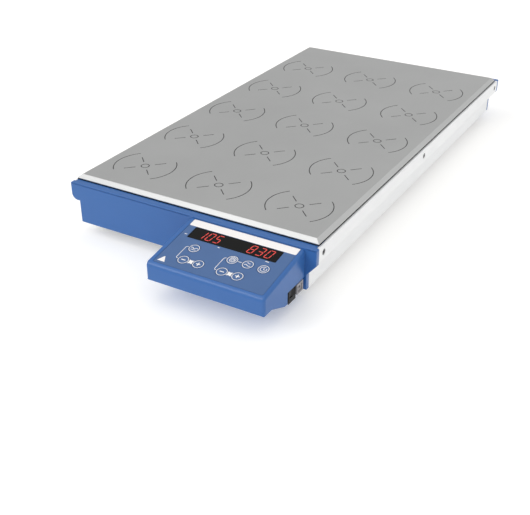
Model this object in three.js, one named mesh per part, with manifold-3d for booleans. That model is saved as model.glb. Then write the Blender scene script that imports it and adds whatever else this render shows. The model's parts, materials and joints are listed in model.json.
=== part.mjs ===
// A fifteen-place magnetic hotplate stirrer: a flat set-up plate on a low extruded body, with a
// sloping control head at the front right. Millimetres, +Z up. The origin is on the floor under
// the middle of the whole outline, +Y points to the back and +X to the right.

import * as THREE from 'three';
import { mergeVertices } from 'three/addons/utils/BufferGeometryUtils.js';
import Module from 'manifold-3d';

const wasm = await Module();
wasm.setup();

// ---- Driving dimensions ----

const gap = 0.3; // play left between pieces that touch
const columns = 3;
const rows = 5;
const placePitch = 90; // between stirring places
const placesMiddleY = 15.5; // middle of the five rows

const totalLength = 591; // head front to rear cap
const frontY = -totalLength / 2;
const rearY = totalLength / 2;

// The plate's skirt slopes out by its spread and ends in a short straight lip; the widths are
// those at its lower edge.
const plate = {
  halfWidth: 136.8,
  front: -215.5,
  back: 285.5,
  top: 60,
  skirt: 3.8,
  lip: 0.6,
  spread: 4,
  sheet: 1.5,
};

const body = {
  halfWidth: 139.2, // upper part of the sides
  lowerHalfWidth: 129.8, // inset lower part of the sides
  top: 54.9,
  waist: 35.5, // underside of the wide upper part
  bottom: 11.8,
  cornerRadius: 6.5,
  wall: 2.5,
  front: -224, // face of the front cap
};
const capThickness = 4.8;
const capEdge = 1.5; // rounding of a cap's top corners
const frontJoint = body.front + capThickness; // where the front cap meets the rails
const rearJoint = rearY - capThickness;
const gusset = { top: 38.5, foot: 27.4 }; // heights of the front cap's right gusset
const flangeInner = 122; // the rails' flanges end here
const ledgeDepth = 17; // how far a cap reaches in under the plate
const capBevel = 0.5; // along the outline of a cap's outer face
const spigotForm = { halfWidth: 117, z: [17.5, 50.5], wall: 2.5, length: 8 };

const head = {
  left: 6.4,
  right: 128,
  middle: 68, // of the keypad
  back: body.front - gap,
  topBack: 53.1, // height of the sloping face where it meets the cap
  slope: Math.atan(0.162),
  nose: 23.4, // underside at the front
  keel: 13.4, // underside at the back
  noseEnd: -282.5,
  keelStart: -259.7,
  wall: 2.5,
  deck: 3.7, // thickness of the sloping wall
  edgeRadius: 4,
};

// Places on the sloping face: x from the keypad's middle, s down the slope from its back edge.
const membrane = { x: [-55.8, 56.3], s: [0.8, 68.4], thickness: 0.8, recess: 1.2 };
const displayWindow = { x: [-47.6, 44.5], s: [10.6, 26.4], thickness: 1 };
const windowFrame = { side: 2, end: 1.4 }; // how far the window rests on the shell
const displayModules = { temperature: [-40, -13.5], speed: [12.5, 39.5], inset: 1.9, top: -1.6 };
const keyPitch = 15.7;
const heatColumn = 36.3 - head.middle;
const stirColumn = 76.4 - head.middle;
const keyRows = { upper: 38.5, lower: 56 };
const facePlay = 0.1; // how far pieces in the face lie below it
const key = { radius: 5.6, plunger: 3.2, length: 5.4, travel: 0.4 };
const keys = {
  heat_key: [heatColumn, keyRows.upper],
  heat_minus_key: [heatColumn, keyRows.lower],
  heat_plus_key: [heatColumn + keyPitch, keyRows.lower],
  stir_key: [stirColumn, keyRows.upper],
  mode_key: [stirColumn + keyPitch, keyRows.upper],
  timer_key: [stirColumn + 2 * keyPitch, keyRows.upper],
  stir_minus_key: [stirColumn, keyRows.lower],
  stir_plus_key: [stirColumn + keyPitch, keyRows.lower],
};
const board = { x: [-55, 55], s: [8, 67], top: -7.4, thickness: 1.6 };
const switchDome = { radius: 2.5, top: -6.2 };
const processor = { x: [-12, 6], s: [34, 52], height: 2.5 };
const boardPlug = { x: [-16, 4], s: [12, 18], height: 7 };

// The bay in the head's right side, with the power switch and the sensor socket.
const bay = { wall: 121, face: 126, front: -255.2, top: 25.4, lip: 2.5 };
const powerSwitch = { y: -245.6, z: 19.9, halfLength: 5.2, halfHeight: 4.4, depth: 18.3 };
const switchFrame = { side: 1.2, above: 0.8, below: 4.3 }; // how far it reaches past the housing
const rocker = { halfLength: 4, halfHeight: 3.4, pivotX: 124.3, rest: -7 };
const socket = { y: -233.1, z: 19.6, half: 4.2, proud: 2.6, holeRadius: 1.6, holeDepth: 9 };
const socketBlock = { y: 5.4, z: 5.2 }; // half sizes of its outer part
const socketPocket = { y: 3.9, z: 3.7, depth: 1 };

const inlet = { x: -80, halfWidth: 14, z: [18.6, 49], front: 270, flange: 2.1, lip: 2.5 };
const inletCavity = { halfWidth: 12, z: [20.6, 36.6], floor: 278 };
const drawer = { halfWidth: 10.7, z: [39.1, 46.7], front: 276 };

const screwRows = [-209.5, 32, 281.5];
const screwZ = 47;
const screw = { head: 2.9, shank: 1.5, sink: 1.6, length: 9, socket: 1.3 };
const footPlaces = { x: 106, front: -190, back: 262 };
const cableHole = { x: 60, z: 32, radius: 6 };

const coil = { inner: 8, outer: 26, bottom: 20.1, top: 44 };
const yokePlate = { halfWidth: 112, y: [-200, 231] };
const heaterInset = 8; // from the plate's outline
const insulationMat = { halfWidth: 119, y: [-198, 262] };
const plateSensor = { halfX: 4, halfY: 9, z: [53.4, 56.3], room: 1 };
const stack = {
  cover: [14.6, 16.1],
  yoke: [17.2, 19.7],
  insulation: [44.6, 56.6],
  heater: [56.9, 58.2],
};

// The mains supply at the back: a board with its parts, and a transformer.
const supply = {
  board: { x: [-52, 68], y: [241, 284], z: [22, 23.6] },
  filter: { x: [-48, -20], y: [246, 278], top: 38 },
  capacitor: { x: -4, y: 262, radius: 9, top: 41 },
  heatSink: { x: [14, 60], y: [262, 268], top: 42 },
};
const transformer = {
  core: [[76, 114], [246, 280], [17.5, 42]],
  winding: [[82, 108], [240, 286], [21, 38.5]],
};

// ---- Materials ----

function finish(colour, roughness, metalness) {
  return new THREE.MeshStandardMaterial({ color: colour, roughness, metalness });
}

const steel = finish(0xb0b1b3, 0.35, 0.9);
const paint = finish(0xe9eaea, 0.45, 0.1);
const blue = finish(0x4b74b6, 0.5, 0);
const foil = finish(0x5f78a6, 0.45, 0);
const black = finish(0x121214, 0.4, 0);
const smoked = finish(0x0b0a0c, 0.15, 0);
const rubber = finish(0x1b1b1c, 0.9, 0);
const copper = finish(0xb06a3a, 0.4, 0.9);
const iron = finish(0x6f7274, 0.5, 0.8);
const wool = finish(0xd8d2c4, 0.95, 0);
const silicone = finish(0xa8502c, 0.8, 0);
const laminate = finish(0x1f5a3a, 0.6, 0);
const darkScrew = finish(0x3a3c40, 0.4, 0.8);
const greyPlastic = finish(0x9a9a98, 0.55, 0);

// ---- Solids ----

function toSolid(geometry) {
  geometry.deleteAttribute('normal');
  geometry.deleteAttribute('uv');
  const merged = mergeVertices(geometry, 1e-4);
  return new wasm.Manifold(new wasm.Mesh({
    numProp: 3,
    vertProperties: merged.attributes.position.array,
    triVerts: new Uint32Array(merged.index.array),
  }));
}

function toGeometry(solid) {
  const mesh = solid.getMesh();
  const geometry = new THREE.BufferGeometry();
  geometry.setAttribute('position', new THREE.BufferAttribute(mesh.vertProperties, 3));
  geometry.setIndex(new THREE.BufferAttribute(mesh.triVerts, 1));
  geometry.computeVertexNormals();
  return geometry;
}

function boxGeometry([x0, x1], [y0, y1], [z0, z1]) {
  const geometry = new THREE.BoxGeometry(x1 - x0, y1 - y0, z1 - z0);
  return geometry.translate((x0 + x1) / 2, (y0 + y1) / 2, (z0 + z1) / 2);
}

function box(x, y, z) {
  return toSolid(boxGeometry(x, y, z));
}

// A solid of revolution about a vertical axis, from [radius, height] points.
function lathe(profile, segments = 24) {
  const points = profile.map(([radius, height]) => new THREE.Vector2(radius, height));
  return new THREE.LatheGeometry(points, segments).rotateX(Math.PI / 2);
}

function disc(radius, z0, z1, segments = 24) {
  return lathe([[0, z0], [radius, z0], [radius, z1], [0, z1]], segments);
}

function outline(points) {
  return new THREE.Shape(points.map(([u, v]) => new THREE.Vector2(u, v)));
}

function extrude(shape, depth, bevel = 0) {
  return new THREE.ExtrudeGeometry(shape, {
    depth,
    bevelEnabled: bevel > 0,
    bevelThickness: bevel,
    bevelSize: bevel,
    bevelOffset: -bevel,
    bevelSegments: 2,
  });
}

// An outline in x and z, carried along Y.
function alongY(points, y0, y1, bevel = 0) {
  const geometry = extrude(outline(points), y1 - y0, bevel);
  return toSolid(geometry.rotateX(Math.PI / 2).translate(0, y1, 0));
}

// An outline in y and z, carried along X.
function alongX(points, x0, x1) {
  const turn = new THREE.Matrix4().makeBasis(
    new THREE.Vector3(0, 1, 0),
    new THREE.Vector3(0, 0, 1),
    new THREE.Vector3(1, 0, 0),
  );
  return toSolid(extrude(outline(points), x1 - x0).applyMatrix4(turn).translate(x0, 0, 0));
}

// Points of an arc; the angles are in degrees.
function arc(centreU, centreV, radius, from, to, steps) {
  const points = [];
  for (let i = 0; i <= steps; i += 1) {
    const angle = THREE.MathUtils.degToRad(from + ((to - from) * i) / steps);
    points.push([centreU + radius * Math.cos(angle), centreV + radius * Math.sin(angle)]);
  }
  return points;
}

// ---- Scene graph ----

const stirrer = new THREE.Group();

// The sloping face: its local x is across, -y is down the slope and z is out of the face.
const face = new THREE.Group();
face.position.set(head.middle, body.front, head.topBack);
face.rotation.x = head.slope;
face.updateMatrix();
stirrer.add(face);

function addGeometry(name, geometry, material, parent = stirrer) {
  const mesh = new THREE.Mesh(geometry, material);
  mesh.name = name;
  parent.add(mesh);
  return mesh;
}

function add(name, solid, material, parent = stirrer) {
  return addGeometry(name, toGeometry(solid), material, parent);
}

// A cutter drawn in the sloping face's own frame, carried to where the head is.
function onFace(geometry) {
  return toSolid(geometry.applyMatrix4(face.matrix));
}

// A box on the sloping face: x and s ranges, and heights above the face.
function faceBox(x, s, z) {
  return boxGeometry(x, [-s[1], -s[0]], z);
}

function grow([low, high], by) {
  return [low - by, high + by];
}

// ---- Plate, seal, heater ----

// A tray shape, upside down: upright sides that turn in to slope up to the top, mitred at the
// corners.
function trayForm(inset, top) {
  const lipTop = top - plate.skirt + plate.lip;
  const section = (low, high) => [
    [low, 0],
    [high, 0],
    [high, lipTop],
    [high - plate.spread, top],
    [low + plate.spread, top],
    [low, lipTop],
  ];
  const x = plate.halfWidth - inset;
  const reach = totalLength;
  const across = alongY(section(-x, x), -reach, reach);
  const along = alongX(section(plate.front + inset, plate.back - inset), -reach, reach);
  return across.intersect(along);
}

function addPlate() {
  const { top, skirt, sheet } = plate;
  const underside = box([-200, 200], [-400, 400], [0, top - skirt]);
  const inside = trayForm(1.2, top - sheet);
  add('setup_plate', trayForm(0, top).subtract(inside).subtract(underside), steel);
}

function addPlateGasket() {
  const inset = 0.35;
  const width = 7;
  const z = [body.top + gap, plate.top - plate.skirt - gap];
  const x = plate.halfWidth - inset;
  const y = [plate.front + inset, plate.back - inset];
  const ring = box([-x, x], y, z);
  const opening = box([width - x, x - width], grow(y, -width), grow(z, 1));
  add('plate_gasket', ring.subtract(opening), rubber);
}

function addHeater() {
  const x = plate.halfWidth - heaterInset;
  const y = [plate.front + heaterInset, plate.back - heaterInset];
  add('heater_mat', box([-x, x], y, stack.heater), silicone);

  const { halfX, halfY, z, room } = plateSensor;
  const across = [-halfX, halfX];
  const along = [placesMiddleY - halfY, placesMiddleY + halfY];
  const { halfWidth } = insulationMat;
  const mat = box([-halfWidth, halfWidth], insulationMat.y, stack.insulation);
  const pocket = box(grow(across, room), grow(along, room), grow(z, room));
  add('insulation_mat', mat.subtract(pocket), wool);
  add('plate_sensor', box(across, along, z), steel);
}

// ---- Stirring drive: one steel yoke with a post and a coil at each place ----

function placeCentres() {
  const centres = [];
  for (let row = 0; row < rows; row += 1) {
    for (let column = 0; column < columns; column += 1) {
      const x = (column - (columns - 1) / 2) * placePitch;
      const y = placesMiddleY + (row - (rows - 1) / 2) * placePitch;
      centres.push([x, y]);
    }
  }
  return centres;
}

function addDrive() {
  const postRadius = coil.inner - 0.5;
  let yoke = box([-yokePlate.halfWidth, yokePlate.halfWidth], yokePlate.y, stack.yoke);
  placeCentres().forEach(([x, y], index) => {
    const post = disc(postRadius, stack.yoke[0] + 1, coil.top - 1, 16).translate(x, y, 0);
    yoke = yoke.add(toSolid(post));
    const { inner, outer, bottom, top } = coil;
    const section = [[inner, bottom], [outer, bottom], [outer, top], [inner, top], [inner, bottom]];
    const ring = lathe(section, 20);
    const name = `stir_coil_${String(index + 1).padStart(2, '0')}`;
    const winding = add(name, toSolid(ring), copper);
    winding.position.set(x, y, 0);
  });
  add('stir_yoke', yoke, iron);
}

// ---- Body: two side rails, the bottom cover and the caps ----

function railOutline(side) {
  const { halfWidth, lowerHalfWidth, top, waist, bottom, cornerRadius, wall } = body;
  const edge = 1;
  const centre = [halfWidth - cornerRadius, waist + cornerRadius];
  const points = [
    [flangeInner, top],
    ...arc(halfWidth - edge, top - edge, edge, 90, 0, 2),
    ...arc(...centre, cornerRadius, 0, -90, 6),
    [lowerHalfWidth, waist],
    [lowerHalfWidth, bottom],
    [flangeInner - 3, bottom],
    [flangeInner - 3, bottom + wall],
    [lowerHalfWidth - wall, bottom + wall],
    [lowerHalfWidth - wall, waist + wall],
    ...arc(...centre, cornerRadius - wall, -90, 0, 6),
    [halfWidth - wall, top - wall],
    [flangeInner, top - wall],
  ];
  return points.map(([x, z]) => [side * x, z]);
}

function screwHole(side, y) {
  const clearance = 0.25;
  const outside = body.halfWidth + 0.01;
  const profile = [
    [0, outside - 6],
    [screw.shank + clearance, outside - 6],
    [screw.shank + clearance, outside - screw.sink - 0.5],
    [screw.head + clearance, outside - 0.8],
    [screw.head + clearance, outside],
    [0, outside],
  ];
  const turn = (side * Math.PI) / 2;
  return toSolid(lathe(profile, 16).rotateY(turn).translate(0, y, screwZ));
}

// What the rails' flanges leave free for a cap's ledge.
function ledgeRoom(y) {
  const x = body.halfWidth - body.wall;
  return box([-x, x], y, [body.top - body.wall - gap, body.top + gap]);
}

function addRail(name, side) {
  let rail = alongY(railOutline(side), frontJoint + gap, rearJoint - gap)
    .subtract(ledgeRoom([frontJoint - gap, frontJoint + ledgeDepth + gap]))
    .subtract(ledgeRoom([rearJoint - ledgeDepth - gap, rearJoint + gap]));
  screwRows.forEach((y) => {
    rail = rail.subtract(screwHole(side, y));
  });
  add(name, rail, paint);
}

function addSideScrews(sideName, side) {
  const outside = body.halfWidth - 0.2;
  const profile = [
    [0, outside - screw.length],
    [screw.shank, outside - screw.length],
    [screw.shank, outside - screw.sink],
    [screw.head, outside - 0.3],
    [screw.head, outside],
    [0, outside],
  ];
  const recess = toSolid(disc(screw.socket, outside - 1.2, outside + 1, 6));
  const fastener = toSolid(lathe(profile, 16)).subtract(recess);
  screwRows.forEach((y, index) => {
    const mesh = add(`${sideName}_side_screw_${index + 1}`, fastener, darkScrew);
    mesh.rotation.y = (side * Math.PI) / 2;
    mesh.position.set(0, y, screwZ);
  });
}

function capSide(side) {
  const { halfWidth, lowerHalfWidth, top, waist, bottom, cornerRadius } = body;
  const edge = capEdge;
  const points = [
    ...arc(halfWidth - edge, top - edge, edge, 90, 0, 2),
    ...arc(halfWidth - cornerRadius, waist + cornerRadius, cornerRadius, 0, -90, 6),
    [lowerHalfWidth, waist],
    [lowerHalfWidth, bottom],
  ];
  return points.map(([x, z]) => [side * x, z]);
}

// The front cap's right side, next to the head: a straight gusset in place of the round corner.
function gussetSide() {
  const edge = capEdge;
  return [
    ...arc(body.halfWidth - edge, body.top - edge, edge, 90, 0, 2),
    [body.halfWidth, gusset.top],
    [body.lowerHalfWidth, gusset.foot],
    [body.lowerHalfWidth, body.bottom],
  ];
}

// A hollow tongue behind a cap that fits inside the rails.
function spigot(y) {
  const { halfWidth, z, wall } = spigotForm;
  const x = [-halfWidth, halfWidth];
  return box(x, y, z).subtract(box(grow(x, -wall), grow(y, 1), grow(z, -wall)));
}

// The part of a cap that reaches in under the plate, between the rails' sides.
function ledge(y) {
  const x = body.halfWidth - body.wall - gap;
  return box([-x, x], y, [body.top - body.wall, body.top]);
}

function addFrontCap() {
  const points = [...gussetSide(), ...capSide(-1).reverse()];
  const slab = alongY(points, body.front + capBevel, frontJoint + capBevel, capBevel);
  const behind = box([-200, 200], [frontJoint, 0], [0, 100]);
  const passage = toSolid(disc(cableHole.radius, -10, 10, 16).rotateX(Math.PI / 2)
    .translate(cableHole.x, frontJoint, cableHole.z));
  const cap = slab.subtract(behind)
    .add(ledge([frontJoint - 1, frontJoint + ledgeDepth]))
    .add(spigot([frontJoint - 1, frontJoint + spigotForm.length]));
  add('front_cap', cap.subtract(passage), blue);
}

function addRearCap() {
  const points = [...capSide(1), ...capSide(-1).reverse()];
  const slab = alongY(points, rearJoint - capBevel, rearY - capBevel, capBevel);
  const ahead = box([-200, 200], [0, rearJoint], [0, 100]);
  const z = grow(inlet.z, gap);
  const hole = box(grow([inlet.x, inlet.x], inlet.halfWidth + gap), [rearJoint - 20, rearY + 1], z);
  const seat = box(
    grow([inlet.x, inlet.x], inlet.halfWidth + inlet.lip + gap),
    [rearY - inlet.flange - 2 * gap, rearY + 1],
    grow(inlet.z, 1.4 + gap),
  );
  const cap = slab.subtract(ahead)
    .add(spigot([rearJoint - spigotForm.length, rearJoint + 1]).subtract(hole))
    .add(ledge([rearJoint - ledgeDepth, rearJoint + 1]));
  add('rear_cap', cap.subtract(hole).subtract(seat), blue);
}

function addBottomCover() {
  const x = body.lowerHalfWidth - body.wall - 0.6;
  add('bottom_cover', box([-x, x], [frontJoint + 0.7, rearJoint - 0.7], stack.cover), paint);
}

function addFeet() {
  const top = stack.cover[0] - gap;
  const foot = lathe([[0, 0], [8.5, 0], [9.5, 1], [9.5, 8], [8, top], [0, top]]);
  [['left', -1], ['right', 1]].forEach(([sideName, side]) => {
    [['front', footPlaces.front], ['rear', footPlaces.back]].forEach(([endName, y]) => {
      const mesh = add(`${endName}_${sideName}_foot`, toSolid(foot.clone()), rubber);
      mesh.position.set(side * footPlaces.x, y, 0);
    });
  });
}

// ---- Control head ----

function faceHeight(y) {
  return head.topBack + (y - body.front) * Math.tan(head.slope);
}

function headOutline() {
  const { edgeRadius, slope, back, nose, keel, noseEnd, keelStart } = head;
  const centreY = frontY + edgeRadius;
  const centreZ = faceHeight(centreY) - edgeRadius / Math.cos(slope);
  const tilt = THREE.MathUtils.radToDeg(slope);
  return [
    [back, faceHeight(back)],
    ...arc(centreY, centreZ, edgeRadius, 90 + tilt, 180, 4),
    [frontY, nose],
    [noseEnd, nose],
    [keelStart, keel],
    [back, keel],
  ];
}

function headInside() {
  const { back, wall, deck, slope } = head;
  const drop = deck / Math.cos(slope);
  const inner = [frontY + wall, back - wall];
  return [
    [inner[1], faceHeight(inner[1]) - drop],
    [inner[0], faceHeight(inner[0]) - drop],
    [inner[0], 0],
    [inner[1], 0],
  ];
}

function bayHoles() {
  const switchHole = box(
    [bay.wall - 1, bay.face + 1],
    grow([powerSwitch.y, powerSwitch.y], powerSwitch.halfLength + gap),
    grow([powerSwitch.z, powerSwitch.z], powerSwitch.halfHeight + gap),
  );
  const socketHole = box(
    [bay.wall - 1, bay.face + 1],
    grow([socket.y, socket.y], socket.half + gap),
    grow([socket.z, socket.z], socket.half + gap),
  );
  return switchHole.add(socketHole);
}

function addHeadUpperShell() {
  const { left, right, back, wall, keel } = head;
  const outer = alongX(headOutline(), left, right);
  const inner = alongX(headInside(), left + wall, right - wall);
  const bayBlock = box([bay.wall, right - 1], [bay.front - bay.lip, back], [keel, bay.top + bay.lip]);
  const recess = box([bay.face, right + 1], [bay.front, back + 1], [0, bay.top]);
  let shell = outer.subtract(inner).add(bayBlock).subtract(recess).subtract(bayHoles());

  const pocket = faceBox(grow(membrane.x, gap), grow(membrane.s, gap), [-membrane.recess, 1]);
  const light = faceBox(
    grow(displayWindow.x, -windowFrame.side),
    grow(displayWindow.s, -windowFrame.end),
    [-10, 0],
  );
  shell = shell.subtract(onFace(pocket)).subtract(onFace(light));
  Object.values(keys).forEach(([x, s]) => {
    const plungerHole = disc(key.plunger + 0.4, -8, 0, 16).translate(x, -s, 0);
    const seat = disc(key.radius + 0.3, -membrane.recess - key.travel - gap, 0).translate(x, -s, 0);
    shell = shell.subtract(onFace(plungerHole)).subtract(onFace(seat));
  });
  const passage = toSolid(disc(cableHole.radius, -6, 6, 16).rotateX(Math.PI / 2)
    .translate(cableHole.x, back, cableHole.z));
  add('head_upper_shell', shell.subtract(passage), blue);
}

function addHeadLowerShell() {
  const { left, right, back, wall, nose, keel, noseEnd, keelStart } = head;
  const thickness = 1.5;
  const y = [frontY + wall + gap, back - wall - gap];
  const lift = 0.2;
  const floor = [
    [y[0], nose + lift],
    [noseEnd, nose + lift],
    [keelStart, keel + lift],
    [y[1], keel + lift],
    [y[1], keel + lift + thickness],
    [keelStart, keel + lift + thickness],
    [noseEnd, nose + lift + thickness],
    [y[0], nose + lift + thickness],
  ];
  const pan = alongX(floor, left + wall + gap, right - wall - gap);
  const bayCut = box([bay.wall - gap, right], [bay.front - bay.lip - gap, back + 1], [0, 40]);
  add('head_lower_shell', pan.subtract(bayCut), blue);
}

function addMembrane() {
  const z = [-facePlay - membrane.thickness, -facePlay];
  let sheet = toSolid(faceBox(membrane.x, membrane.s, z));
  const opening = faceBox(grow(displayWindow.x, gap), grow(displayWindow.s, gap), grow(z, 1));
  sheet = sheet.subtract(toSolid(opening));
  Object.values(keys).forEach(([x, s]) => {
    sheet = sheet.subtract(toSolid(disc(key.radius + gap, -2, 1).translate(x, -s, 0)));
  });
  add('keypad_membrane', sheet, foil, face);
}

function addDisplays() {
  const { x, s, thickness } = displayWindow;
  add('display_window', toSolid(faceBox(x, s, [-facePlay - thickness, -facePlay])), smoked, face);
  const { temperature, speed, inset, top } = displayModules;
  const z = [board.top + gap, top];
  add('temperature_display', toSolid(faceBox(temperature, grow(s, -inset), z)), black, face);
  add('speed_display', toSolid(faceBox(speed, grow(s, -inset), z)), black, face);
}

function addControlBoard() {
  const bottom = board.top - board.thickness;
  let panel = toSolid(faceBox(board.x, board.s, [bottom, board.top]));
  Object.values(keys).forEach(([x, s]) => {
    const dome = disc(switchDome.radius, board.top - 0.5, switchDome.top, 12);
    panel = panel.add(toSolid(dome.translate(x, -s, 0)));
  });
  [processor, boardPlug].forEach(({ x, s, height }) => {
    panel = panel.add(toSolid(faceBox(x, s, [bottom - height, bottom + 0.5])));
  });
  add('control_board', panel, laminate, face);
}

function addKeys() {
  const top = -facePlay;
  const lower = top - membrane.thickness - facePlay;
  const profile = [
    [0, top - key.length],
    [key.plunger, top - key.length],
    [key.plunger, lower],
    [key.radius, lower],
    [key.radius, top],
    [0, top],
  ];
  Object.entries(keys).forEach(([name, [x, s]]) => {
    const cap = add(name, toSolid(lathe(profile)), foil, face);
    cap.position.set(x, -s, 0);
  });
}

function addPowerSwitch() {
  const { y, z, halfLength, halfHeight, depth } = powerSwitch;
  const housing = box(
    [bay.face + gap - depth, bay.face + gap + 0.1],
    grow([y, y], halfLength),
    grow([z, z], halfHeight),
  );
  const frame = box(
    [bay.face + gap, bay.face + gap + 1],
    grow([y, y], halfLength + switchFrame.side),
    [z - halfHeight - switchFrame.below, z + halfHeight + switchFrame.above],
  );
  const well = box(
    [rocker.pivotX - 2.3, bay.face + 3],
    grow([y, y], rocker.halfLength + 0.7),
    grow([z, z], rocker.halfHeight + gap),
  );
  add('power_switch_housing', housing.add(frame).subtract(well), black);

  const { halfLength: u } = rocker;
  const saddle = [[-1, -u], [-1.6, 0], [-1, u], [2.9, u], [2.3, 0], [2.9, -u]];
  const shape = extrude(outline(saddle), 2 * rocker.halfHeight).translate(0, 0, -rocker.halfHeight);
  const paddle = add('power_rocker', toSolid(shape), black);
  paddle.position.set(rocker.pivotX, y, z);
  paddle.rotation.z = THREE.MathUtils.degToRad(rocker.rest);
}

function addSensorSocket() {
  const { y, z, half, proud, holeRadius, holeDepth } = socket;
  const outside = bay.face + proud;
  const housing = box([bay.face - 12, bay.face + 1], grow([y, y], half), grow([z, z], half));
  const block = box(
    [bay.face + gap, outside],
    grow([y, y], socketBlock.y),
    grow([z, z], socketBlock.z),
  );
  const pocket = box(
    [outside - socketPocket.depth, outside + 1],
    grow([y, y], socketPocket.y),
    grow([z, z], socketPocket.z),
  );
  const hole = toSolid(disc(holeRadius, outside - holeDepth, outside + 1, 16)
    .rotateY(Math.PI / 2).translate(0, y, z));
  add('sensor_socket', housing.add(block).subtract(pocket).subtract(hole), greyPlastic);
}

// ---- Mains parts at the back ----

function addMainsInlet() {
  const across = [inlet.x, inlet.x];
  const housing = box(grow(across, inlet.halfWidth), [inlet.front, rearY - inlet.flange], inlet.z);
  const outside = rearY - 0.2;
  const flange = box(
    grow(across, inlet.halfWidth + inlet.lip),
    [rearY - inlet.flange - gap, outside],
    grow(inlet.z, 1.4),
  );
  const mouth = box(
    grow(across, inletCavity.halfWidth),
    [inletCavity.floor, rearY + 1],
    inletCavity.z,
  );
  const slot = box(
    grow(across, drawer.halfWidth + gap),
    [drawer.front - 1.5, rearY + 1],
    grow(drawer.z, gap),
  );
  let connector = housing.add(flange).subtract(mouth).subtract(slot);
  const pinReach = [inletCavity.floor - 1, rearY - 3.5];
  [[-7, 27], [7, 27], [0, 31]].forEach(([x, z]) => {
    connector = connector.add(box(grow([inlet.x + x, inlet.x + x], 1), pinReach, grow([z, z], 2)));
  });
  add('mains_inlet', connector, black);
}

function addFuseDrawer() {
  const across = [inlet.x, inlet.x];
  const tray = box(grow(across, drawer.halfWidth), [drawer.front, rearY - 0.4], drawer.z);
  const [low, high] = drawer.z;
  const fuses = box(grow(across, 8), [drawer.front + 2, rearY - 4], [low + 2, high + 1]);
  const fingerNotch = box(grow(across, 4), [rearY - 1.6, rearY + 1], [low - 1, low + 2.2]);
  add('fuse_drawer', tray.subtract(fuses).subtract(fingerNotch), black);
}

function addPowerSupply() {
  const { board: panel, filter, capacitor, heatSink } = supply;
  const foot = panel.z[1] - 0.5;
  const can = disc(capacitor.radius, foot, capacitor.top, 16);
  const circuit = box(panel.x, panel.y, panel.z)
    .add(box(filter.x, filter.y, [foot, filter.top]))
    .add(toSolid(can.translate(capacitor.x, capacitor.y, 0)))
    .add(box(heatSink.x, heatSink.y, [foot, heatSink.top]));
  add('power_board', circuit, laminate);
  add('transformer', box(...transformer.core).add(box(...transformer.winding)), iron);
}

addPlate();
addPlateGasket();
addHeater();
addDrive();
addRail('left_side_rail', -1);
addRail('right_side_rail', 1);
addSideScrews('left', -1);
addSideScrews('right', 1);
addFrontCap();
addRearCap();
addBottomCover();
addFeet();
addHeadUpperShell();
addHeadLowerShell();
addMembrane();
addDisplays();
addControlBoard();
addKeys();
addPowerSwitch();
addSensorSocket();
addMainsInlet();
addFuseDrawer();
addPowerSupply();

export default stirrer;
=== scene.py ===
import json
import math

import bmesh
import bpy
from mathutils import Matrix, Vector


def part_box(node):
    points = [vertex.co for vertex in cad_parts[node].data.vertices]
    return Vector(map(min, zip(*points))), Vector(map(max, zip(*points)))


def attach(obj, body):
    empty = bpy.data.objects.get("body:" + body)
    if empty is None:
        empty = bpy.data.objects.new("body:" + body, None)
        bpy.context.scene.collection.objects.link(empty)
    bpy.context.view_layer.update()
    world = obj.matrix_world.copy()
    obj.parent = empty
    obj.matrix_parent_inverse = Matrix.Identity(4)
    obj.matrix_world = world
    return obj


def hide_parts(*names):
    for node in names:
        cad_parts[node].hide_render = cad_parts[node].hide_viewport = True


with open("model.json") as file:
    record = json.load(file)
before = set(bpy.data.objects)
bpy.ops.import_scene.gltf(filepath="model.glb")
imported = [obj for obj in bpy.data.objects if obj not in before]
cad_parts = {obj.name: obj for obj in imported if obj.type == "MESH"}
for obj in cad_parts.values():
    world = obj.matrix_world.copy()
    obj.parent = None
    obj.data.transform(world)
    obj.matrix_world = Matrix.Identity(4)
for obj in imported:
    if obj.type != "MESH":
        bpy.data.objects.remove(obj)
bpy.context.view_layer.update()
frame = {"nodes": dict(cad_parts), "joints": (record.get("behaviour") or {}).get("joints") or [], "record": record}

MM = 0.001
TINY = 0.01 * MM
NODES = frame["nodes"]
BASE = "base"

ALONG_Z = Matrix.Identity(4)
ALONG_Y = Matrix(((1, 0, 0, 0), (0, 0, 1, 0), (0, 1, 0, 0), (0, 0, 0, 1)))
ALONG_X = Matrix(((0, 0, 1, 0), (1, 0, 0, 0), (0, 1, 0, 0), (0, 0, 0, 1)))


# ---- Camera, light and floor ----

def add_camera():
    """A camera at the product view's angle: in front, to the right and above."""
    data = bpy.data.cameras.new("camera")
    data.sensor_width = 36
    data.lens = 59.55
    camera = bpy.data.objects.new("camera", data)
    camera.location = (0.43146, -0.81629, 0.43627)
    camera.rotation_euler = (math.radians(59.526), 0, math.radians(30.167))
    bpy.context.scene.collection.objects.link(camera)
    bpy.context.scene.camera = camera


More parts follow.
